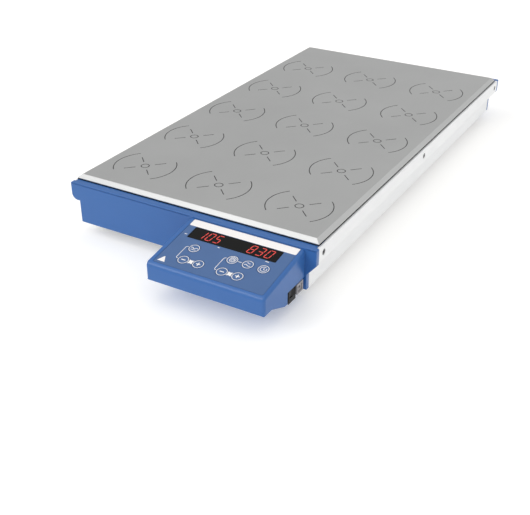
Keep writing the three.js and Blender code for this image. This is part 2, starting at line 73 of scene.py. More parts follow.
def add_world():
    """A soft white room, brightest overhead, with a tight key light at the front left."""
    world = bpy.data.worlds.new("studio")
    bpy.context.scene.world = world
    world.use_nodes = True
    nodes, links = world.node_tree.nodes, world.node_tree.links
    coordinates = nodes.new("ShaderNodeTexCoord")

    def math_node(operation, first, second):
        node = nodes.new("ShaderNodeMath")
        node.operation = operation
        links.new(first, node.inputs[0])
        node.inputs[1].default_value = second
        return node.outputs["Value"]

    def glow(direction, strength, focus):
        """A patch of light towards a direction; a higher focus makes it smaller."""
        facing = nodes.new("ShaderNodeVectorMath")
        facing.operation = "DOT_PRODUCT"
        facing.inputs[1].default_value = Vector(direction).normalized()
        links.new(coordinates.outputs["Generated"], facing.inputs[0])
        ahead = math_node("MAXIMUM", facing.outputs["Value"], 0)
        return math_node("MULTIPLY", math_node("POWER", ahead, focus), strength)

    def add(first, second):
        node = nodes.new("ShaderNodeMath")
        node.operation = "ADD"
        links.new(first, node.inputs[0])
        links.new(second, node.inputs[1])
        return node.outputs["Value"]

    overhead = glow((-0.1, -0.2, 0.97), 0.87, 4)
    key = glow((-0.5, -0.65, 0.57), 5.5, 40)
    right = glow((0.8, -0.3, 0.5), 0.38, 4)
    behind = glow((0.4, 0.75, 0.53), 0.25, 6)
    lights = add(add(overhead, key), add(right, behind))
    from_all_sides = 0.51
    room = math_node("ADD", lights, from_all_sides)
    nodes["Background"].inputs["Color"].default_value = (1, 1, 1, 1)
    links.new(room, nodes["Background"].inputs["Strength"])


def add_floor():
    """A plain floor, wide enough for its edge to stay near the horizon."""
    half = 60.0
    corners = ((-half, -half, 0), (half, -half, 0), (half, half, 0), (-half, half, 0))
    bm = bmesh.new()
    bm.faces.new([bm.verts.new(corner) for corner in corners])
    mesh = bpy.data.meshes.new("floor")
    bm.to_mesh(mesh)
    bm.free()
    mesh.materials.append(floor_material())
    floor = bpy.data.objects.new("floor", mesh)
    bpy.context.scene.collection.objects.link(floor)


# ---- Material tools ----

def srgb(red, green, blue):
    """A colour given as 0 to 255 on screen, as the shader's linear colour."""
    parts = [value / 255 for value in (red, green, blue)]
    linear = [p / 12.92 if p <= 0.04045 else ((p + 0.055) / 1.055) ** 2.4 for p in parts]
    return (*linear, 1.0)


def principled(name, colour, roughness, metallic=0.0, specular=0.5):
    """A new material with its plain values on the shader's own sockets."""
    material = bpy.data.materials.new(name)
    material.use_nodes = True
    shader = material.node_tree.nodes["Principled BSDF"]
    shader.inputs["Base Color"].default_value = colour
    shader.inputs["Roughness"].default_value = roughness
    shader.inputs["Metallic"].default_value = metallic
    shader.inputs["Specular IOR Level"].default_value = specular
    return material


def shader_of(material):
    return material.node_tree.nodes["Principled BSDF"]


def grain(material, scale, stretch=(1, 1, 1), detail=3.0):
    """Noise fixed to the object: scale is in features per metre."""
    nodes, links = material.node_tree.nodes, material.node_tree.links
    coordinates = nodes.new("ShaderNodeTexCoord")
    mapping = nodes.new("ShaderNodeMapping")
    mapping.inputs["Scale"].default_value = stretch
    noise = nodes.new("ShaderNodeTexNoise")
    noise.inputs["Scale"].default_value = scale
    noise.inputs["Detail"].default_value = detail
    links.new(coordinates.outputs["Object"], mapping.inputs["Vector"])
    links.new(mapping.outputs["Vector"], noise.inputs["Vector"])
    return noise.outputs["Fac"]


def spread(material, value, low, high):
    """Noise lies mostly between 0.3 and 0.7; this carries that band to low and high."""
    nodes, links = material.node_tree.nodes, material.node_tree.links
    mapped = nodes.new("ShaderNodeMapRange")
    mapped.inputs["From Min"].default_value = 0.3
    mapped.inputs["From Max"].default_value = 0.7
    mapped.inputs["To Min"].default_value = low
    mapped.inputs["To Max"].default_value = high
    links.new(value, mapped.inputs["Value"])
    return mapped.outputs["Result"]


def vary_colour(material, value, dark, light):
    """The base colour runs between two colours, as the noise does."""
    nodes, links = material.node_tree.nodes, material.node_tree.links
    mix = nodes.new("ShaderNodeMix")
    mix.data_type = "RGBA"
    colours = [socket for socket in mix.inputs if socket.type == "RGBA"]
    colours[0].default_value = dark
    colours[1].default_value = light
    links.new(spread(material, value, 0, 1), mix.inputs["Factor"])
    result = next(socket for socket in mix.outputs if socket.type == "RGBA")
    links.new(result, shader_of(material).inputs["Base Color"])


def vary_roughness(material, value, low, high):
    """The roughness runs between two values, as the noise does."""
    roughness = shader_of(material).inputs["Roughness"]
    material.node_tree.links.new(spread(material, value, low, high), roughness)


def emboss(material, value, depth):
    """Fine relief, as deep as the noise's whole range."""
    nodes, links = material.node_tree.nodes, material.node_tree.links
    bump = nodes.new("ShaderNodeBump")
    bump.inputs["Distance"].default_value = depth
    bump.inputs["Strength"].default_value = 1.0
    links.new(value, bump.inputs["Height"])
    links.new(bump.outputs["Normal"], shader_of(material).inputs["Normal"])


def shade(colour, factor):
    return (colour[0] * factor, colour[1] * factor, colour[2] * factor, 1.0)


def plastic(name, colour, roughness, variation=0.04, mottle=0.05, texture=0.012 * MM, specular=0.5):
    """Moulded plastic: a fine sparked surface and a faint cloudiness."""
    material = principled(name, colour, roughness, specular=specular)
    darker, lighter = shade(colour, 1 - variation), shade(colour, 1 + variation)
    vary_colour(material, grain(material, 45), darker, lighter)
    vary_roughness(material, grain(material, 160), roughness - mottle, roughness + mottle)
    emboss(material, grain(material, 2600, detail=2), texture)
    return material


# ---- Materials, one for each slot ----

def floor_material():
    """Pale paper that glows a little, so that it stays white in the light."""
    material = principled("floor", (0.85, 0.843, 0.828, 1), 1.0, specular=0.0)
    vary_colour(material, grain(material, 3), (0.845, 0.838, 0.823, 1), (0.855, 0.848, 0.833, 1))
    shader = shader_of(material)
    shader.inputs["Emission Color"].default_value = (1, 1, 1, 1)
    shader.inputs["Emission Strength"].default_value = 0.26
    return material


def plate_steel():
    """Satin stainless steel, its fine grain running along the plate."""
    colour = (0.64, 0.645, 0.64, 1)
    material = principled("plate_steel", colour, 0.36, metallic=1.0)
    brushed = grain(material, 1500, stretch=(1, 0.04, 1), detail=2)
    vary_colour(material, grain(material, 14), shade(colour, 0.975), shade(colour, 1.025))
    vary_roughness(material, brushed, 0.32, 0.4)
    emboss(material, brushed, 0.002 * MM)
    return material


def etched_line():
    """The dark bottom of an engraved line."""
    colour = (0.05, 0.05, 0.052, 1)
    material = principled("etched_line", colour, 0.7, metallic=0.4)
    vary_colour(material, grain(material, 900), shade(colour, 0.8), shade(colour, 1.3))
    emboss(material, grain(material, 3000), 0.02 * MM)
    return material


def white_paint():
    """Powder coat, with a faint orange peel."""
    colour = srgb(239, 240, 241)
    material = principled("white_paint", colour, 0.45)
    vary_colour(material, grain(material, 30), shade(colour, 0.985), shade(colour, 1.01))
    vary_roughness(material, grain(material, 200), 0.4, 0.5)
    emboss(material, grain(material, 700, detail=2), 0.02 * MM)
    return material


def keypad_foil():
    """Matt printed foil, with a fine texture."""
    colour = srgb(72, 104, 152)
    material = principled("keypad_foil", colour, 0.4, specular=0.4)
    vary_colour(material, grain(material, 60), shade(colour, 0.97), shade(colour, 1.03))
    vary_roughness(material, grain(material, 900), 0.35, 0.45)
    emboss(material, grain(material, 3500, detail=2), 0.006 * MM)
    return material


def smoked_window():
    """Near black, smooth, with faint smears."""
    colour = (0.006, 0.006, 0.006, 1)
    material = principled("display_window", colour, 0.15, specular=0.12)
    vary_roughness(material, grain(material, 120), 0.1, 0.2)
    return material


def display_light():
    """A lit red segment, not quite even."""
    material = principled("display_light", (0.35, 0.01, 0.01, 1), 0.5)
    glow = grain(material, 700)
    vary_colour(material, glow, (0.3, 0.01, 0.01, 1), (0.45, 0.02, 0.015, 1))
    shader = shader_of(material)
    shader.inputs["Emission Color"].default_value = (1.0, 0.12, 0.1, 1)
    shader.inputs["Emission Strength"].default_value = 0.52
    return material


def white_ink():
    return plastic("white_ink", srgb(245, 241, 239), 0.5, variation=0.01, texture=0.004 * MM)


def rubber():
    """Black rubber, dull and slightly dusty."""
    colour = (0.012, 0.012, 0.012, 1)
    material = principled("rubber", colour, 0.85, specular=0.3)
    vary_colour(material, grain(material, 300), shade(colour, 0.7), shade(colour, 1.6))
    emboss(material, grain(material, 1500), 0.03 * MM)
    return material


def dark_metal(name, colour, roughness):
    """Bare or blackened metal, finely blasted."""
    material = principled(name, colour, roughness, metallic=1.0)
    vary_colour(material, grain(material, 400), shade(colour, 0.85), shade(colour, 1.15))
    vary_roughness(material, grain(material, 900), roughness - 0.08, roughness + 0.08)
    emboss(material, grain(material, 2500), 0.01 * MM)
    return material


def copper_wire():
    """Enamelled wire wound in layers: fine rings round a vertical axis."""
    colour = (0.55, 0.16, 0.05, 1)
    material = principled("coil_copper", colour, 0.3, metallic=0.9)
    layers = grain(material, 600, stretch=(0.1, 0.1, 3))
    vary_colour(material, layers, shade(colour, 0.6), shade(colour, 1.2))
    emboss(material, grain(material, 500, stretch=(0.05, 0.05, 3)), 0.2 * MM)
    return material


def wool():
    """Glass wool, its fibres lying mostly one way."""
    colour = (0.66, 0.62, 0.52, 1)
    material = principled("insulation", colour, 0.95, specular=0.2)
    fibre = grain(material, 400, stretch=(1, 0.3, 1), detail=6)
    vary_colour(material, fibre, shade(colour, 0.75), shade(colour, 1.15))
    emboss(material, fibre, 0.4 * MM)
    return material


def silicone_mat():
    """Silicone heating mat, with the woven glass showing through."""
    colour = (0.4, 0.07, 0.02, 1)
    material = principled("heater_silicone", colour, 0.6)
    vary_colour(material, grain(material, 500), shade(colour, 0.8), shade(colour, 1.2))
    emboss(material, grain(material, 900, stretch=(1, 3, 1)), 0.08 * MM)
    return material


def laminate():
    """Green circuit board, with copper tracks faintly raised."""
    colour = (0.012, 0.1, 0.04, 1)
    material = principled("circuit_board", colour, 0.35)
    tracks = grain(material, 260, stretch=(1, 0.2, 1), detail=0)
    vary_colour(material, tracks, shade(colour, 0.7), shade(colour, 1.8))
    emboss(material, tracks, 0.05 * MM)
    return material


MATERIALS = {
    "plate_steel": plate_steel(),
    "black_seal": rubber(),
    "heater_silicone": silicone_mat(),
    "insulation": wool(),
    "sensor_steel": dark_metal("sensor_steel", (0.5, 0.5, 0.5, 1), 0.35),
    "yoke_iron": dark_metal("yoke_iron", (0.2, 0.2, 0.21, 1), 0.5),
    "white_paint": white_paint(),
    "grey_cover": plastic("grey_cover", srgb(190, 191, 193), 0.5),
    "blue_plastic": plastic(
        "blue_plastic",
        srgb(56, 103, 167),
        0.28,
        variation=0.015,
        mottle=0.004,
        texture=0.003 * MM,
        specular=0.35,
    ),
    "keypad_foil": keypad_foil(),
    "display_window": smoked_window(),
    "display_module": plastic("display_module", (0.012, 0.012, 0.013, 1), 0.4),
    "circuit_board": laminate(),
    "black_plastic": plastic(
        "black_plastic",
        (0.008, 0.008, 0.009, 1),
        0.4,
        variation=0.2,
        specular=0.2,
    ),
    "grey_plastic": plastic("grey_plastic", srgb(150, 148, 152), 0.5),
    "coil_copper": copper_wire(),
    "foot_rubber": rubber(),
    "screw_steel": dark_metal("screw_steel", (0.16, 0.16, 0.165, 1), 0.4),
    "etched_line": etched_line(),
    "white_ink": white_ink(),
    "display_light": display_light(),
}


# ---- Mesh tools ----

def slab(bm, outline, low, high, direction=ALONG_Z):
    """A closed prism: an outline of (u, v) points carried from low to high."""
    ends = [[bm.verts.new(direction @ Vector((u, v, w))) for u, v in outline] for w in (low, high)]
    bm.faces.new(ends[0])
    bm.faces.new(ends[1])
    count = len(outline)
    for i in range(count):
        j = (i + 1) % count
        bm.faces.new((ends[0][i], ends[0][j], ends[1][j], ends[1][i]))
    return ends


def block(bm, low, high):
    """A box from its lowest to its highest corner."""
    outline = [(low[0], low[1]), (high[0], low[1]), (high[0], high[1]), (low[0], high[1])]
    return slab(bm, outline, low[2], high[2])


def ribbon(bm, points, width, low, high, closed=False):
    """A flat band of that width along a line of (x, y) points, as a closed solid from low to high."""
    count = len(points)
    stations = []
    for i, point in enumerate(points):
        here = Vector(point)
        before = Vector(points[i - 1]) if closed or i > 0 else here
        after = Vector(points[(i + 1) % count]) if closed or i < count - 1 else here
        into = (here - before) if before != here else (after - here)
        out = (after - here) if after != here else into
        into.normalize()
        out.normalize()
        along = (into + out).normalized()
        side = Vector((-along.y, along.x)) * (width / 2) / max(along.dot(into), 0.3)
        left, right = here + side, here - side
        corners = ((left, low), (left, high), (right, high), (right, low))
        stations.append([bm.verts.new((p.x, p.y, z)) for p, z in corners])
    for i in range(count if closed else count - 1):
        a, b = stations[i], stations[(i + 1) % count]
        for k in range(4):
            bm.faces.new((a[k], b[k], b[(k + 1) % 4], a[(k + 1) % 4]))
    if not closed:
        bm.faces.new(stations[0])
        bm.faces.new(stations[-1])


def lathe(bm, profile, steps, placing=ALONG_Z):
    """A solid of revolution about its local Z.

    The profile is (radius, height) points, and its first and last lie on the axis.
    """
    rings = []
    for radius, height in profile:
        if radius == 0:
            rings.append([bm.verts.new(placing @ Vector((0, 0, height)))])
            continue
        angles = [2 * math.pi * i / steps for i in range(steps)]
        points = [Vector((radius * math.cos(a), radius * math.sin(a), height)) for a in angles]
        rings.append([bm.verts.new(placing @ p) for p in points])
    for lower, upper in zip(rings, rings[1:]):
        for i in range(steps):
            j = (i + 1) % steps
            corners = [
                lower[i % len(lower)],
                lower[j % len(lower)],
                upper[j % len(upper)],
                upper[i % len(upper)],
            ]
            bm.faces.new(list(dict.fromkeys(corners)))


def arc(centre, radius, start, end, steps):
    """Points of an arc about (u, v); the angles are in degrees."""
    angles = [math.radians(start + (end - start) * i / steps) for i in range(steps + 1)]
    return [(centre[0] + radius * math.cos(a), centre[1] + radius * math.sin(a)) for a in angles]


def around(centre, radius, degrees):
    """The point at an angle and a distance from (u, v)."""
    angle = math.radians(degrees)
    return (centre[0] + radius * math.cos(angle), centre[1] + radius * math.sin(angle))


def circle(centre, radius, steps=48):
    """A closed ring of points."""
    return arc(centre, radius, 0, 360 - 360 / steps, steps - 1)


def rounded_box(low, high, radius, steps=4):
    """A rectangle's outline with rounded corners."""
    left, right = low[0] + radius, high[0] - radius
    bottom, top = low[1] + radius, high[1] - radius
    return [
        *arc((right, top), radius, 0, 90, steps),
        *arc((left, top), radius, 90, 180, steps),
        *arc((left, bottom), radius, 180, 270, steps),
        *arc((right, bottom), radius, 270, 360, steps),
    ]


def to_object(name, bm, materials):
    """Turns a bmesh into a smooth-shaded object in the scene."""
    bmesh.ops.recalc_face_normals(bm, faces=bm.faces)
    mesh = bpy.data.meshes.new(name)
    bm.to_mesh(mesh)
    bm.free()
    for material in materials:
        mesh.materials.append(MATERIALS[material])
    mesh.shade_smooth()
    made = bpy.data.objects.new(name, mesh)
    bpy.context.scene.collection.objects.link(made)
    return made


def apply_modifiers(piece):
    """Keeps what the modifiers made as the piece's own mesh."""
    graph = bpy.context.evaluated_depsgraph_get()
    mesh = bpy.data.meshes.new_from_object(piece.evaluated_get(graph))
    piece.modifiers.clear()
    piece.data = mesh


def boolean(piece, bm, operation, material=None):
    """Cuts the solids in bm out of a piece, or joins them to it."""
    tool = to_object("tool", bm, [material] if material else [])
    modifier = piece.modifiers.new("boolean", "BOOLEAN")
    modifier.operation = operation
    modifier.solver = "EXACT"
    modifier.object = tool
    if material:
        modifier.material_mode = "TRANSFER"
    apply_modifiers(piece)
    bpy.data.objects.remove(tool)


def cut(piece, bm, material=None):
    boolean(piece, bm, "DIFFERENCE", material)


def join(piece, bm):
    boolean(piece, bm, "UNION")


def round_edges(piece, width, segments=2, angle=35, by_weight=False):
    """Rounds the edges sharper than an angle, or those that weigh_edges chose."""
    bevel = piece.modifiers.new("round", "BEVEL")
    bevel.limit_method = "WEIGHT" if by_weight else "ANGLE"
    bevel.angle_limit = math.radians(angle)
    bevel.width = width
    bevel.segments = segments
    bevel.use_clamp_overlap = True


SHARP = math.radians(50)


def settle_normals(piece):
    """Flat faces stay flat in the shading, next to rounded edges."""
    weighted = piece.modifiers.new("normals", "WEIGHTED_NORMAL")
    weighted.weight = 100
    weighted.keep_sharp = True


def finish_piece(piece, replaced, body=BASE):
    """Settles a piece's mesh and shading, hangs it on its body and hides the CAD nodes that it replaces."""
    apply_modifiers(piece)
    piece.data.set_sharp_from_angle(angle=SHARP)
    settle_normals(piece)
    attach(piece, body)
    if replaced:
        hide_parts(*replaced)
    return piece


def weigh_edges(piece, choose):
    """Sets each edge's share of the bevel's width from its two ends."""
    mesh = piece.data
    weights = mesh.attributes.new("bevel_weight_edge", "FLOAT", "EDGE")
    for edge in mesh.edges:
        a, b = (mesh.vertices[v].co for v in edge.vertices)
        weights.data[edge.index].value = choose(a, b)


# ---- Set-up plate ----

PLACES = {
    "count": 15,
    "centre_radius": 4.2 * MM,
    "dash_from": 10 * MM,
    "dash_to": 22 * MM,
    "arc_radius": 32.5 * MM,
    "line": 0.9 * MM,
    "depth": 0.25 * MM,
}
PLATE = {
    "lip": 0.6 * MM,
    "slope": 4 * MM,
    "sheet": 1.4 * MM,
    "side": 1.2 * MM,
    "corner": 0.6 * MM,
}


def place_centres():
    """The middles of the places, each of which lies over its own stirring coil."""
    for number in range(1, PLACES["count"] + 1):
        low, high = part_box(f"stir_coil_{number:02d}")
        yield (low.xy + high.xy) / 2


def plate_loop(low, high, inset, height):
    """The plate's outline at a height, its corners sharper the further it is set in."""
    radius = max(PLATE["corner"] - 0.1 * inset, 0.15 * MM)
    outline = rounded_box((low.x + inset, low.y + inset), (high.x - inset, high.y - inset), radius)
    return [Vector((x, y, height)) for x, y in outline]


def place_marks(surface):
    """The cutters for each place's engraving: a centre circle, four dashes and two arcs."""
    width, low, high = PLACES["line"], -PLACES["depth"], MM
    bm = bmesh.new()
    for centre in place_centres():
        ribbon(bm, circle(centre, PLACES["centre_radius"], 24), width, low, high, closed=True)
        for degrees in (45, 135, 225, 315):
            dash = [around(centre, PLACES[end], degrees) for end in ("dash_from", "dash_to")]
            ribbon(bm, dash, width, low, high)
        for start in (-45, 135):
            ribbon(bm, arc(centre, PLACES["arc_radius"], start, start + 90, 28), width, low, high)
    bmesh.ops.translate(bm, verts=bm.verts, vec=(0, 0, surface))
    return bm


def add_plate():
    """A folded sheet: a flat top, a sloping edge and a short upright lip."""
    low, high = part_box("setup_plate")
    lip, slope, sheet, side = PLATE["lip"], PLATE["slope"], PLATE["sheet"], PLATE["side"]
    levels = [
        (slope + side, high.z - sheet),
        (side, low.z + lip - sheet / 2),
        (side, low.z),
        (0, low.z),
        (0, low.z + lip),
        (slope, high.z),
    ]
    bm = bmesh.new()
    loops = [[bm.verts.new(p) for p in plate_loop(low, high, *level)] for level in levels]
    count = len(loops[0])
    for a, b in zip(loops, loops[1:]):
        for i in range(count):
            j = (i + 1) % count
            bm.faces.new((a[i], a[j], b[j], b[i]))
    bm.faces.new(loops[0])
    bm.faces.new(loops[-1])
    plate = to_object("plate", bm, ["plate_steel"])
    round_edges(plate, 0.35 * MM, segments=3, angle=25)
    apply_modifiers(plate)
    cut(plate, place_marks(high.z), "etched_line")
    finish_piece(plate, ["setup_plate"])


def add_gasket_and_gap_shade():
    """The black seal under the plate's skirt, seen as a dark line all round. It is grown 0.6 mm outwards, nearly
    to the plate's lip, so the line is partly the real seal and partly painted shade of the gap under the plate.
    """
    low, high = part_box("plate_gasket")
    # Painted shade: the seal grows past its CAD outline, so its black fills the gap under the plate's lip where
    # there is partly only shade.
    gap_shade_bulge, width = 0.6 * MM, 7 * MM
    grow = Vector((gap_shade_bulge, gap_shade_bulge))
    bm = bmesh.new()
    slab(bm, rounded_box(low.xy - grow, high.xy + grow, 0.5 * MM), low.z, high.z)
    gasket = to_object("gasket", bm, ["black_seal"])
    inside = bmesh.new()
    block(
        inside,
        (low.x + width, low.y + width, low.z - MM),
        (high.x - width, high.y - width, high.z + MM),
    )
    cut(gasket, inside)
    finish_piece(gasket, ["plate_gasket"])


# ---- Side rails and their screws ----

RAIL = {
    "set_in": 9.4 * MM,
    "step": 19.2 * MM,
    "corner": 6.5 * MM,
    "wall": 2.5 * MM,
    "edge": 1 * MM,
    "flange": 17.2 * MM,
    "sink": 0.6 * MM,
}
CAP = {
    "edge": 1.5 * MM,
    "thickness": 4.8 * MM,
    "gusset_top": 16.2 * MM,
    "gusset_foot": 27.3 * MM,
    "ledge": 17 * MM,
    "ledge_thickness": 2.5 * MM,
    "play": 0.3 * MM,
    "seam": 0.75 * MM,
}
SCREW_NUMBERS = (1, 2, 3)


def rail_outline(low, high, side):
    """The section of a rail in x and z, mirrored for the left side."""
    corner, wall, edge = RAIL["corner"], RAIL["wall"], RAIL["edge"]
    outer = high.x
    top = high.z - RAIL["sink"]
    bottom = low.z
    waist = high.z - RAIL["step"]
    inset = outer - RAIL["set_in"]
    centre = (outer - corner, waist + corner)
    inner = outer - RAIL["flange"]
    points = [
        (inner, top),
        *arc((outer - edge, top - edge), edge, 90, 0, 4),
        *arc(centre, corner, 0, -90, 12),
        (inset, waist),
        (inset, bottom),
        (low.x, bottom),
        (low.x, bottom + wall),
        (inset - wall, bottom + wall),
        (inset - wall, waist + wall),
        *arc(centre, corner - wall, -90, 0, 8),
        (outer - wall, top - wall),
        (inner, top - wall),
    ]
    return [(side * x, z) for x, z in points]


def sideways(x, y, z, side):
    """Turns a lathe's axis outwards along X, at a point."""
    turn = Matrix.Rotation(side * math.pi / 2, 4, "Y")
    return Matrix.Translation((x, y, z)) @ turn


def ledge_room(side):
    """What the top flange leaves free at both ends for the caps' ledges."""
    low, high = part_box("right_side_rail")
    reach = CAP["ledge"] + CAP["play"]
    inner = high.x - RAIL["flange"] - MM
    outer = high.x - RAIL["wall"]
    left, right = sorted((side * inner, side * outer))
    bottom = high.z - RAIL["wall"] - RAIL["sink"] - CAP["play"]
    bm = bmesh.new()
    for front, back in ((low.y - MM, low.y + reach), (high.y - reach, high.y + MM)):
        block(bm, (left, front, bottom), (right, back, high.z + MM))
    return bm


def screw_holes(side_name, side, outer):
    """The countersunk holes for a rail's screws; outer is the rail's outside face."""
    shank, head, depth = 1.8 * MM, 3.15 * MM, 6 * MM
    profile = [
        (0, -depth),
        (shank, -depth),
        (shank, -2.1 * MM),
        (head, -0.8 * MM),
        (head, 1 * MM),
        (0, 1 * MM),
    ]
    bm = bmesh.new()
    for number in SCREW_NUMBERS:
        low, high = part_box(f"{side_name}_side_screw_{number}")
        middle = (low + high) / 2
        lathe(bm, profile, 32, sideways(side * outer, middle.y, middle.z, side))
    return bm


def add_rail(side_name, side):
    """A bent sheet rail; both are made from the right one's box, which the left one mirrors."""
    node = f"{side_name}_side_rail"
    low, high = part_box("right_side_rail")
    bm = bmesh.new()
    slab(bm, rail_outline(low, high, side), low.y, high.y, ALONG_Y)
    rail = to_object(f"{side_name}_rail", bm, ["white_paint"])
    cut(rail, screw_holes(side_name, side, high.x))
    cut(rail, ledge_room(side))
    round_edges(rail, 0.3 * MM, angle=40)
    finish_piece(rail, [node])


def add_side_screw(side_name, side, number):
    """A countersunk screw with a hexagon socket."""
    node = f"{side_name}_side_screw_{number}"
    low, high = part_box(node)
    middle = (low + high) / 2
    outside = high.x if side > 0 else -low.x
    length = high.x - low.x
    profile = [
        (0, -length),
        (1.3 * MM, -length),
        (1.5 * MM, 0.3 * MM - length),
        (1.5 * MM, -1.7 * MM),
        (2.8 * MM, -0.5 * MM),
        (2.9 * MM, -0.3 * MM),
        (2.75 * MM, -0.08 * MM),
        (2.2 * MM, 0),
        (0, 0),
    ]
    bm = bmesh.new()
    place = sideways(side * outside, middle.y, middle.z, side)
    lathe(bm, profile, 40, place)
    screw = to_object(f"{side_name}_screw_{number}", bm, ["screw_steel"])
    socket = bmesh.new()
    slab(socket, circle((0, 0), 1.4 * MM, 6), -1.3 * MM, 1 * MM)
    bmesh.ops.transform(socket, matrix=place, verts=socket.verts)
    cut(screw, socket)
    finish_piece(screw, [node])


# ---- End caps ----

def cap_side(half, low, high, side, gusset=False):
    """Half of a cap's outline in x and z, from its top down."""
    edge, corner = CAP["edge"], RAIL["corner"]
    waist = high.z - RAIL["step"]
    inset = half - RAIL["set_in"]
    points = [*arc((half - edge, high.z - edge), edge, 90, 0, 5)]
    if gusset:
        points += [(half, high.z - CAP["gusset_top"]), (inset, high.z - CAP["gusset_foot"])]
    else:
        points += [*arc((half - corner, waist + corner), corner, 0, -90, 12), (inset, waist)]
    points.append((inset, low.z))
    return [(side * x, z) for x, z in points]


def add_cap(name, node, outer, inner, gusset):
    """An end cap with a ledge under the plate.

    outer and inner are the y of the cap's outside face and of its joint with the rails.
    """
    low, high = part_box(node)
    half = high.x
    points = cap_side(half, low, high, 1, gusset) + cap_side(half, low, high, -1)[::-1]
    bm = bmesh.new()
    slab(bm, points, min(outer, inner), max(outer, inner), ALONG_Y)
    cap = to_object(name, bm, ["blue_plastic"])

    def outside_edge(a, b):
        return 1.0 if abs(a.y - outer) < TINY and abs(b.y - outer) < TINY else 0.0

    weigh_edges(cap, outside_edge)
    round_edges(cap, 0.6 * MM, segments=3, by_weight=True)
    apply_modifiers(cap)
    inward = 1 if inner > outer else -1
    reach = sorted((inner - inward * MM, inner + inward * CAP["ledge"]))
    ledge = bmesh.new()
    top = high.z - 2 * TINY
    half_ledge = half - RAIL["wall"] - CAP["play"]
    block(ledge, (-half_ledge, reach[0], top - CAP["ledge_thickness"]), (half_ledge, reach[1], top))
    join(cap, ledge)
    return cap


def add_front_cap():
    """The cap behind the head, with a thin seam line along its top on both sides of the head."""
    low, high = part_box("front_cap")
    head_low, head_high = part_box("head_upper_shell")
    cap = add_cap("front_end_cap", "front_cap", low.y, low.y + CAP["thickness"], True)
    seam = CAP["seam"]
    bottom, top = high.z - 2.2 * seam, high.z - 1.2 * seam
    line = bmesh.new()
    for left, right in ((low.x - MM, head_low.x - MM), (head_high.x + MM, high.x + MM)):
        block(line, (left, low.y - MM, bottom), (right, low.y + seam, top))
    cut(cap, line)
    finish_piece(cap, ["front_cap"])


def add_rear_cap():
    """The cap at the back, with a seat and a hole for the mains inlet."""
    low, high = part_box("rear_cap")
    cap = add_cap("rear_end_cap", "rear_cap", high.y, high.y - CAP["thickness"], False)
    inlet_low, inlet_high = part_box("mains_inlet")
    flange, play = 2.7 * MM, 0.3 * MM
    rim, sill = 2.5 * MM, 1.1 * MM
    seat = bmesh.new()
    block(
        seat,
        (inlet_low.x - play, inlet_high.y - flange, inlet_low.z - play),
        (inlet_high.x + play, high.y + MM, inlet_high.z + play),
    )
    cut(cap, seat)
    hole = bmesh.new()
    block(
        hole,
        (inlet_low.x + rim - play, low.y - MM, inlet_low.z + sill),
        (inlet_high.x - rim + play, high.y, inlet_high.z - sill),
    )
    cut(cap, hole)
    finish_piece(cap, ["rear_cap"])


# ---- Control head ----

def face_matrix():
    """The sloping face: local x is across, -y is down the slope and z is out of the face."""
    low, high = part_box("head_upper_shell")
    press = next(joint for joint in frame["joints"] if joint["name"] == "heat_key_press")
    normal = -Vector(press["axis"]).normalized()
    across = Vector((1, 0, 0))
    turn = Matrix((across, normal.cross(across), normal)).transposed().to_4x4()
    return Matrix.Translation(((low.x + high.x) / 2, high.y, high.z)) @ turn


FACE = face_matrix()


def face_box(node):
    """A node's lowest and highest corners in the sloping face's own directions."""
    inverse = FACE.inverted()
    points = [inverse @ vertex.co for vertex in NODES[node].data.vertices]
    low = Vector([min(point[i] for point in points) for i in range(3)])
    high = Vector([max(point[i] for point in points) for i in range(3)])
    return low, high


def to_face(bm):
    """Lays a bmesh made in the face's own directions on the sloping face."""
    bmesh.ops.transform(bm, matrix=FACE, verts=bm.verts)
    return bm


HEAD = {
    "nose": 10 * MM,
    "nose_end": 13 * MM,
    "keel_start": 35.4 * MM,
    "wall": 2.5 * MM,
    "deck": 3.7 * MM,
    "front_radius": 5.0 * MM,
    "key_seat": 5.9 * MM,
    "key_stem": 3.6 * MM,
}
# The bay for the switch and the socket: its depth in from the head's side, its walls, its length
# from the head's back and its height from the head's bottom.
BAY = {
    "depth": 2.0 * MM,
    "back_wall": 5.0 * MM,
    "lining": 2.5 * MM,
    "length": 30.9 * MM,
    "height": 12.0 * MM,
}
# How far a piece's outer frame covers the wall at the sides of its hole, below it and above it.
FRAME_RIMS = {
    "power_switch_housing": (0.9 * MM, 4.0 * MM, 0.5 * MM),
    "sensor_socket": (0.9 * MM, 0.7 * MM, 0.7 * MM),
}
KEYS = (
    "heat_key",
    "heat_minus_key",
    "heat_plus_key",
    "stir_key",
    "mode_key",
    "timer_key",
    "stir_minus_key",
    "stir_plus_key",
)


def key_centre(key):
    """The middle of a key in the face's own directions."""
    low, high = face_box(key)
    return (low.xy + high.xy) / 2


def slope_height(y):
    """The height of the sloping face over a y."""
    low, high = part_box("head_upper_shell")
    normal = FACE.to_3x3() @ Vector((0, 0, 1))
    return high.z + (y - high.y) * -normal.y / normal.z


def head_outer():
    """The head's outside, seen from the side: a sloping face, a short front and a rising keel."""
    low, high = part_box("head_upper_shell")
    outline = [
        (high.y, high.z),
        (low.y, slope_height(low.y)),
        (low.y, low.z + HEAD["nose"]),
        (low.y + HEAD["nose_end"], low.z + HEAD["nose"]),
        (high.y - HEAD["keel_start"], low.z),
        (high.y, low.z),
    ]
    bm = bmesh.new()
    slab(bm, outline, low.x, high.x, ALONG_X)
    shell = to_object("head_shell", bm, ["blue_plastic"])

    crisp, soft = 0.12, 0.6

    def share(a, b):
        """An edge's share of the front radius: none at the back, all at the top of the front."""
        at_back = all(abs(p.y - high.y) < TINY for p in (a, b))
        at_front = all(abs(p.y - low.y) < TINY for p in (a, b))
        on_top = all(abs(p.z - slope_height(p.y)) < TINY for p in (a, b))
        across = abs(a.x - b.x) > MM
        if at_back:
            return 0.0
        if across:
            return 1.0 if on_top else crisp
        return soft if at_front or on_top else crisp

    weigh_edges(shell, share)
    round_edges(shell, HEAD["front_radius"], segments=6, by_weight=True)
    apply_modifiers(shell)
    return shell


